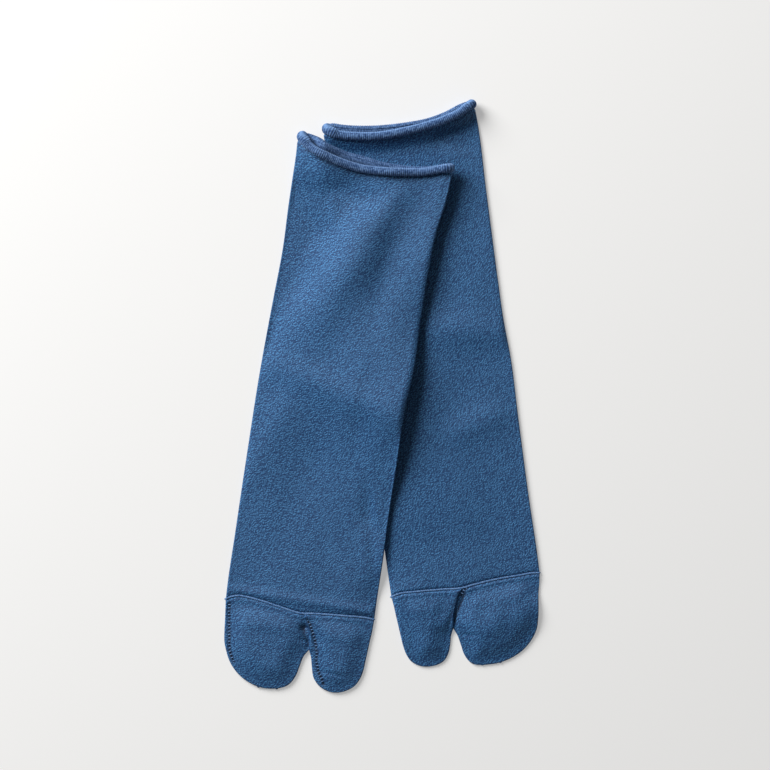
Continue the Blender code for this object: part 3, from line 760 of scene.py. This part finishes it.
class Lobe:
    """A toe lobe's outline: down its left side, round its tip and up its right side."""

    def __init__(self, sock, side):
        rows = (sock.left_lobe, sock.right_lobe)[side]
        ends = []
        for share in ((0.0, split_share(sock)), (split_share(sock), 1.0))[side]:
            s = seam_at(sock, share, "upper") + SEAM_GAP / 2
            ends.append((s, sock.split.a if 0.0 < share < 1.0 else folds_at(sock, s)[int(share)]))
        rows = (Row(*ends[0], *ends[1]), *rows)
        self.sock, self.side, self.last = sock, side, len(rows) - 1
        tucked = [TUCK * (i <= CROTCH_ROWS) for i in range(len(rows))]
        left = [(row.left - tuck * side, row.s_left) for row, tuck in zip(rows, tucked)]
        right = [(row.right + tuck * (1 - side), row.s_right) for row, tuck in zip(rows, tucked)]
        self.crotch = (right, left)[side][: CROTCH_ROWS + 1]
        right = right[-2::-1]
        self.points = np.array(left + right)
        steps = np.linalg.norm(np.diff(self.points, axis=0), axis=1)
        self.knots = np.concatenate(([0.0], np.cumsum(steps)))
        self.outline = self.at(np.linspace(0, 2 * self.last, 12 * self.last + 1))

    def at(self, index):
        """Points (a, s) at indices into the table's points, fractions too."""
        where = np.interp(index, np.arange(len(self.knots)), self.knots)
        return np.column_stack([through(self.knots, self.points[:, axis], where) for axis in (0, 1)])

    def row(self, index):
        """The closed row of a section, upper points and then lower ones."""
        left, right = self.at(np.array([index, 2 * self.last - index], float))
        distance = spread(LOBE_COLUMNS[self.side], np.linalg.norm(right - left))
        share = (distance / distance[-1])[:, None]
        chord = left + (right - left) * share
        tip = self.at(index + 2 * (self.last - index) * share[:, 0])
        chord += (tip - chord) * np.clip((index - self.last + TIP_START) / (TIP_START - TIP), 0.0, 1.0) ** 2
        layers = []
        for layer in ("upper", "lower"):
            points = chord.copy()
            if layer == "upper":
                bowed = self.seam_line(chord[:, 0]) - self.base_chord(chord[:, 0])
                points[:, 1] += bowed * ease(1.0 - index / BOWED_ROWS)
            layers.append(self.lift(points, layer, index < self.last - TIP))
        return around(*layers)

    def seam_line(self, a):
        left, right = folds_at(self.sock, self.points[[0, -1], 1].mean())
        return seam_at(self.sock, np.clip((a - left) / (right - left), 0.0, 1.0), "upper") + SEAM_GAP / 2

    def base_chord(self, a):
        return np.interp(a, self.points[[0, -1], 0], self.points[[0, -1], 1])

    def lift(self, points, layer, open_row):
        """The points raised to a layer; a row's ends, and all of the tip's, lie on the outline."""
        a, s = points.T
        inside = line_distance(self.outline, a, s) * open_row
        inside[[0, -1]] = 0.0
        z = rounded(self.sock, a, s, layer, inside, puff_at(self.sock, s, inside))
        if layer == "upper":
            z = z - seam_dip(self.sock, a, s) * ease(inside / EDGE)
            for groove in grooves(self.sock):
                z = z - GORE_DIP * groove.shade * bell(line_distance(groove.line, a, s) / GORE_REACH)
            beside = line_distance(self.crotch, a, s)
            z = z + self.sock.edges[self.side] * bell((beside - EDGE) / CROTCH_REACH) * ease(inside / EDGE)
        return np.column_stack((a, s, z))


def toe_pocket(sock):
    """The broad lobe and the big-toe lobe, each knitted in the round to a closed tip."""
    lobes = []
    for side in (0, 1):
        lobe = Lobe(sock, side)
        near_seam = np.linspace(0.0, BOWED_ROWS, 14)
        between = np.linspace(BOWED_ROWS, lobe.last - 1, 46)[1:]
        index = np.concatenate((near_seam, between, lobe.last - np.array(TIP_ROWS)))
        rows = np.array([lobe.row(i) for i in index])
        upper = np.arange(rows.shape[1]) < LOBE_COLUMNS[side] + 2 * FOLD_STEPS + 2
        # painted shade in the creases, on the upper layer only
        shade = painted_crease_shade(sock, rows[..., 0], rows[..., 1]) * upper
        knit = np.stack((rows[..., 0] / WALE, rows[..., 1] / COURSE), axis=-1)
        obj = cloth_panel(f"{sock.name}_lobe_{side}", in_space(sock, rows), knit, shade)
        thicken(obj, WALL)
        lobes.append(obj)
    return joined(f"{sock.name}_toe_pocket", lobes)


# ---------------------------------------------------------------- yarn


def yarn_bead(length, radius):
    """One stitch of yarn: a long bead along X."""
    bpy.ops.object.select_all(action="DESELECT")
    bpy.ops.mesh.primitive_uv_sphere_add(segments=8, ring_count=6, radius=radius * MM)
    bead = bpy.context.object
    bpy.ops.object.mode_set(mode="EDIT")
    bpy.ops.mesh.select_all(action="SELECT")
    bpy.ops.transform.rotate(value=math.pi / 2, orient_axis="Y", center_override=(0, 0, 0))
    bpy.ops.transform.resize(value=(length / (2 * radius), 1, 1), center_override=(0, 0, 0))
    bpy.ops.object.mode_set(mode="OBJECT")
    bead.data.shade_smooth()
    return bead


def stitches(name, bead, places, directions, ups):
    """A copy of the bead at each place, along its direction, joined into one piece."""
    base = np.empty(len(bead.data.vertices) * 3, np.float32)
    bead.data.vertices.foreach_get("co", base)
    base = base.reshape(-1, 3)
    copies = []
    for place, direction, up in zip(places, unit(directions), unit(ups)):
        side = np.cross(up, direction)
        side /= np.linalg.norm(side)
        turned = base[:, :1] * direction + base[:, 1:2] * side + base[:, 2:] * np.cross(direction, side)
        copy = bead.copy()
        copy.data = bead.data.copy()
        bpy.context.scene.collection.objects.link(copy)
        copy.data.vertices.foreach_set("co", (turned + place * MM).astype(np.float32).ravel())
        copies.append(copy)
    bpy.data.objects.remove(bead, do_unlink=True)
    return joined(name, copies)


def along_line(points, pitch):
    """Places every pitch along a line of points, with the line's direction at each."""
    steps = np.linalg.norm(np.diff(points, axis=0), axis=1)
    knots = np.concatenate(([0.0], np.cumsum(steps)))
    where = np.arange(pitch / 2, knots[-1], pitch)

    def at(distance):
        return np.column_stack([np.interp(distance, knots, values) for values in points.T])

    return at(where), unit(at(where + LINE_STEP) - at(where - LINE_STEP))


def puff_at(sock, s, inside):
    """How much the toe pocket's air lifts its upper layer, at a distance inside a lobe's outline."""
    return sock.puff * ease(inside / PUFF_REACH) * ease((s - sock.split.s + PUFF_START) / PUFF_RISE)


def surface_places(sock, a, s):
    """Points on the toe pocket's upper layer."""
    inside = np.minimum(*[line_distance(Lobe(sock, side).outline, a, s) for side in (0, 1)])
    return np.column_stack((a, s, height(sock, a, s, "upper") + puff_at(sock, s, inside)))


def linked_seam(sock):
    """The chained yarn that links the toe pocket to the leg, with an ear at each fold."""
    share = np.linspace(0.0, 1.0, 200)
    s = seam_at(sock, share, "upper")
    left, right = folds_at(sock, s)
    a = left - EAR + (right - left + 2 * EAR) * share
    upper, lower = height(sock, a, s, "upper"), height(sock, a, s, "lower")
    beside = np.clip(np.minimum(a - left, right - a) / EDGE, 0.0, 1.0)
    z = upper - CHAIN_SINK - (upper - lower) / 2 * (1.0 - np.sqrt(1.0 - (1.0 - beside) ** 2))
    path = in_space(sock, np.column_stack((a, s, z)))
    places, directions = along_line(path, CHAIN_PITCH)
    up = np.tile((0.0, 0.0, 1.0), (len(places), 1))
    slant = np.cross(up, directions)
    pairs, turned = [], []
    for sign in (-1.0, 1.0):
        pairs.append(places + slant * CHAIN_SIDE * sign + directions * CHAIN_STAGGER * sign)
        turned.append(directions + slant * CHAIN_SLANT * sign)
    return stitches(
        f"{sock.name}_linking_chain",
        yarn_bead(CHAIN_PITCH * CHAIN_STITCH, CHAIN_RADIUS),
        np.concatenate(pairs),
        np.concatenate(turned),
        np.concatenate((up, up)),
    )


def gore_stitches(sock):
    """Bars of yarn across the gores' grooves, and the knots that fasten them off."""
    places, directions = [], []
    lines = [along_line(np.array(line), GORE_PITCH) for line in sock.gores]
    lines += [(np.array([knot]), np.array([KNOT_TURN])) for knot in sock.knots]
    for at, toward in lines:
        on_cloth = surface_places(sock, at[:, 0], at[:, 1])
        across = np.column_stack((toward[:, 1], -toward[:, 0], np.zeros(len(at))))
        places.append(in_space(sock, on_cloth - (0.0, 0.0, GORE_SINK)))
        directions.append(in_space(sock, on_cloth + across) - in_space(sock, on_cloth))
    places, directions = np.concatenate(places), np.concatenate(directions)
    up = np.tile((0.0, 0.0, 1.0), (len(places), 1))
    return stitches(f"{sock.name}_gore_stitches", yarn_bead(*GORE_BAR), places, directions, up)


# ---------------------------------------------------------------- materials


class Shade:
    """A socket of a material's nodes, so that shader maths is written as an expression."""

    def __init__(self, tree, socket):
        self.tree, self.socket = tree, socket

    def node(self, kind, settings=None, inputs=None, output=0):
        """Another node, with its settings and then the values or links of its sockets."""
        made = self.tree.nodes.new(kind)
        for name, value in (settings or {}).items():
            setattr(made, name, value)
        for name, value in (inputs or {}).items():
            if isinstance(value, Shade):
                self.tree.links.new(value.socket, made.inputs[name])
            else:
                made.inputs[name].default_value = value
        return Shade(self.tree, made.outputs[output])

    def math(self, operation, *values):
        return self.node("ShaderNodeMath", {"operation": operation}, dict(enumerate((self, *values))))

    def __add__(self, other):
        return self.math("ADD", other)

    def __sub__(self, other):
        return self.math("SUBTRACT", other)

    def __rsub__(self, other):
        return self * -1.0 + other

    def __mul__(self, other):
        return self.math("MULTIPLY", other)

    def wave(self):
        """1 at whole numbers and 0 half way between them."""
        return (self * (2 * math.pi)).math("COSINE") * 0.5 + 0.5

    def smooth(self, low, high):
        settings = {"interpolation_type": "SMOOTHSTEP"}
        return self.node("ShaderNodeMapRange", settings, {0: self, 1: low, 2: high})

    def clamped(self, low, high):
        return self.node("ShaderNodeMapRange", {"clamp": True}, {0: self, 1: low, 2: high})

    def mix(self, first, second):
        """From the first colour to the second as this goes from 0 to 1."""
        return self.node("ShaderNodeMix", {"data_type": "RGBA"}, {0: self, 6: first, 7: second}, 2)


def new_material(name):
    material = bpy.data.materials.new(name)
    material.use_nodes = True
    shader = material.node_tree.nodes["Principled BSDF"]
    return material, shader, Shade(material.node_tree, None)


def knit_coordinates(nodes):
    knit = nodes.node("ShaderNodeUVMap", {"uv_map": "knit"})
    wale = knit.node("ShaderNodeSeparateXYZ", None, {0: knit}, 0)
    course = Shade(wale.tree, wale.socket.node.outputs[1])
    return wale, course


def strips(across):
    """A random number for each whole strip."""
    return across.node("ShaderNodeTexWhiteNoise", {"noise_dimensions": "1D"}, {"W": across.math("FLOOR")})


def cells(across, along):
    """A random number for each whole cell."""
    place = across.node("ShaderNodeCombineXYZ", None, {0: across.math("FLOOR"), 1: along.math("FLOOR")})
    return across.node("ShaderNodeTexWhiteNoise", {"noise_dimensions": "2D"}, {"Vector": place})


def flecks(across, along):
    """Random numbers for cells in strips that are shifted against each other."""
    return cells(across, along + strips(across))


def knit_stitch(wale, course):
    """The relief of a plain stitch: two yarn legs that meet in a V, once a wale and a course."""
    across = wale.math("FRACT") - 0.5
    beside = across.math("ABSOLUTE")
    leg = 1.0 - (beside * 4.0 - 1.0).math("ABSOLUTE")
    return leg.clamped(0.0, 0.7) * ((course - beside * 1.3).wave() * 0.6 + 0.4)


def jersey_material(name, dark, light):
    """Fine heathered jersey: its yarn legs line up aslant, and each has its own tone."""
    material, shader, nodes = new_material(name)
    wale, course = knit_coordinates(nodes)
    across = (wale * WALE + course * COURSE) * (0.7071 / HEATHER[0])
    along = (wale * WALE - course * COURSE) * (0.7071 / HEATHER[1])
    fleck = flecks(across, along) - (flecks(across + 1.0, along) + flecks(across - 1.0, along)) * 0.25
    fine = cells(wale * 2.0, course * 2.0) - cells(wale * 2.0, course * 2.0 + 1.0)
    stitch = knit_stitch(wale, course)
    tone = fleck * 0.8 + fine * 0.34 + stitch * 0.1 + 0.2
    # painted shade: the creases' attribute darkens the colour toward a deeper blue
    painted_shade = nodes.node("ShaderNodeAttribute", {"attribute_name": "dark"}, None, 2)
    colour = tone.clamped(0.0, 1.0).math("POWER", 2.0).mix((*dark, 1.0), (*light, 1.0))
    painted_shade_colour = tuple(0.3 * channel for channel in dark)
    colour = painted_shade.mix(colour, (*painted_shade_colour, 1.0))
    material.node_tree.links.new(colour.socket, shader.inputs["Base Color"])
    relief = stitch + fleck * 0.3
    bump = nodes.node("ShaderNodeBump", None, {"Strength": 0.6, "Distance": 0.2 * MM, "Height": relief})
    material.node_tree.links.new(bump.socket, shader.inputs["Normal"])
    shader.inputs["Roughness"].default_value = 0.62
    shader.inputs["Specular IOR Level"].default_value = 0.4
    return material


def purl_material(name, dark, light):
    """The jersey's back, which the roll shows: ribs with fuzzy loops across them, and a painted highlight
    along the rim.
    """
    material, shader, nodes = new_material(name)
    wale, course = knit_coordinates(nodes)
    tone = flecks(wale + 0.5, course)
    place = nodes.node("ShaderNodeTexCoord", None, None, 3)
    fuzz = nodes.node("ShaderNodeTexNoise", None, {"Vector": place, "Scale": 900.0, "Detail": 2.0})
    ridge = wale.wave()
    # painted highlight: a lighter band of courses along the roll's rim, where the light catches it
    painted_highlight = (course - PAINTED_HIGHLIGHT_COURSE).math("ABSOLUTE").clamped(PAINTED_HIGHLIGHT_WIDTH, 0.0)
    lit = tone * 0.6 + ridge * 0.5 + (fuzz - 0.5) * 0.6 + painted_highlight * 0.8 - 0.1
    colour = lit.clamped(0.0, 1.1).mix((*dark, 1.0), (*light, 1.0))
    material.node_tree.links.new(colour.socket, shader.inputs["Base Color"])
    bump = nodes.node("ShaderNodeBump", None, {"Strength": 0.7, "Distance": 0.2 * MM, "Height": tone + fuzz})
    material.node_tree.links.new(bump.socket, shader.inputs["Normal"])
    shader.inputs["Roughness"].default_value = 0.95
    shader.inputs["Specular IOR Level"].default_value = 0.2
    shader.inputs["Sheen Weight"].default_value = 0.4
    shader.inputs["Sheen Tint"].default_value = (0.35, 0.55, 1.0, 1.0)
    shader.inputs["Sheen Roughness"].default_value = 0.4
    return material


def yarn_material(name, dark, light):
    material, shader, nodes = new_material(name)
    place = nodes.node("ShaderNodeTexCoord", None, None, 3)
    fibre = nodes.node("ShaderNodeTexNoise", None, {"Vector": place, "Scale": 1500.0, "Detail": 2.0})
    colour = fibre.smooth(0.3, 0.7).mix((*dark, 1.0), (*light, 1.0))
    material.node_tree.links.new(colour.socket, shader.inputs["Base Color"])
    bump = nodes.node("ShaderNodeBump", None, {"Strength": 0.5, "Distance": 0.1 * MM, "Height": fibre})
    material.node_tree.links.new(bump.socket, shader.inputs["Normal"])
    shader.inputs["Roughness"].default_value = 0.9
    shader.inputs["Specular IOR Level"].default_value = 0.2
    return material


# ---------------------------------------------------------------- the pair


def dress(obj, node, material=None):
    if material:
        obj.data.materials.clear()
        obj.data.materials.append(material)
    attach(obj, "root")
    if node:
        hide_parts(node)


def build_sock(sock, jersey, purl, yarn):
    cuff, toes, chain = rolled_cuff(sock), toe_pocket(sock), linked_seam(sock)
    body = leg(sock, jersey, purl)
    dress(body, f"{sock.name}_sock_tube")
    dress(cuff, f"{sock.name}_sock_tube", purl)
    dress(toes, f"{sock.name}_sock_toe", jersey)
    dress(chain, f"{sock.name}_toe_seam", yarn)
    if sock.gores:
        gores = gore_stitches(sock)
        dress(gores, None, yarn)


# ---------------------------------------------------------------- the set

CAMERA_HEIGHT = 5.0
FIELD = 0.4851
SENSOR = 36.0
LOOKS_AT = (0.0017, 0.0067)
FLOOR_GLOW = 0.335
AMBIENT = 0.13
KEY_DISTANCE = 2.2
KEY_AZIMUTH = 137.0
KEY_ELEVATION = 32.0
KEY_SIZE = 1.45
KEY_POWER = 77.0


def camera():
    data = bpy.data.cameras.new("camera")
    data.sensor_width = SENSOR
    data.lens = SENSOR * CAMERA_HEIGHT / FIELD
    data.clip_end = 20.0
    obj = bpy.data.objects.new("camera", data)
    obj.location = (*LOOKS_AT, CAMERA_HEIGHT)
    bpy.context.scene.collection.objects.link(obj)
    bpy.context.scene.camera = obj


def floor():
    bpy.ops.object.select_all(action="DESELECT")
    bpy.ops.mesh.primitive_plane_add(size=8.0, location=(0.0, 0.0, 0.0))
    obj = bpy.context.object
    obj.name = "floor"
    material, shader, _ = new_material("pale_paper")
    shader.inputs["Base Color"].default_value = (0.58, 0.576, 0.568, 1.0)
    shader.inputs["Roughness"].default_value = 1.0
    shader.inputs["Specular IOR Level"].default_value = 0.0
    shader.inputs["Emission Color"].default_value = (1.0, 0.995, 0.985, 1.0)
    shader.inputs["Emission Strength"].default_value = FLOOR_GLOW
    obj.data.materials.append(material)


def lights():
    world = bpy.data.worlds.new("room")
    world.use_nodes = True
    background = world.node_tree.nodes["Background"]
    background.inputs["Color"].default_value = (1.0, 1.0, 1.0, 1.0)
    background.inputs["Strength"].default_value = AMBIENT
    bpy.context.scene.world = world
    data = bpy.data.lights.new("window", "AREA")
    data.shape = "DISK"
    data.size = KEY_SIZE
    data.energy = KEY_POWER
    obj = bpy.data.objects.new("window", data)
    azimuth, elevation = math.radians(KEY_AZIMUTH), math.radians(KEY_ELEVATION)
    toward = Vector((math.cos(azimuth), math.sin(azimuth), math.tan(elevation))).normalized()
    obj.location = toward * KEY_DISTANCE
    obj.rotation_euler = (-toward).to_track_quat("-Z", "Y").to_euler()
    bpy.context.scene.collection.objects.link(obj)


def main():
    camera()
    floor()
    lights()
    bpy.context.scene.view_settings.view_transform = "Standard"
    jersey = jersey_material("heathered_jersey", (0.0, 0.028, 0.113), (0.085, 0.3, 0.61))
    purl = purl_material("purl_side", (0.006, 0.03, 0.11), (0.15, 0.27, 0.5))
    yarn = yarn_material("linking_yarn", (0.04, 0.13, 0.32), (0.21, 0.36, 0.62))
    for sock in (LEFT_SOCK, RIGHT_SOCK):
        build_sock(sock, jersey, purl, yarn)


main()
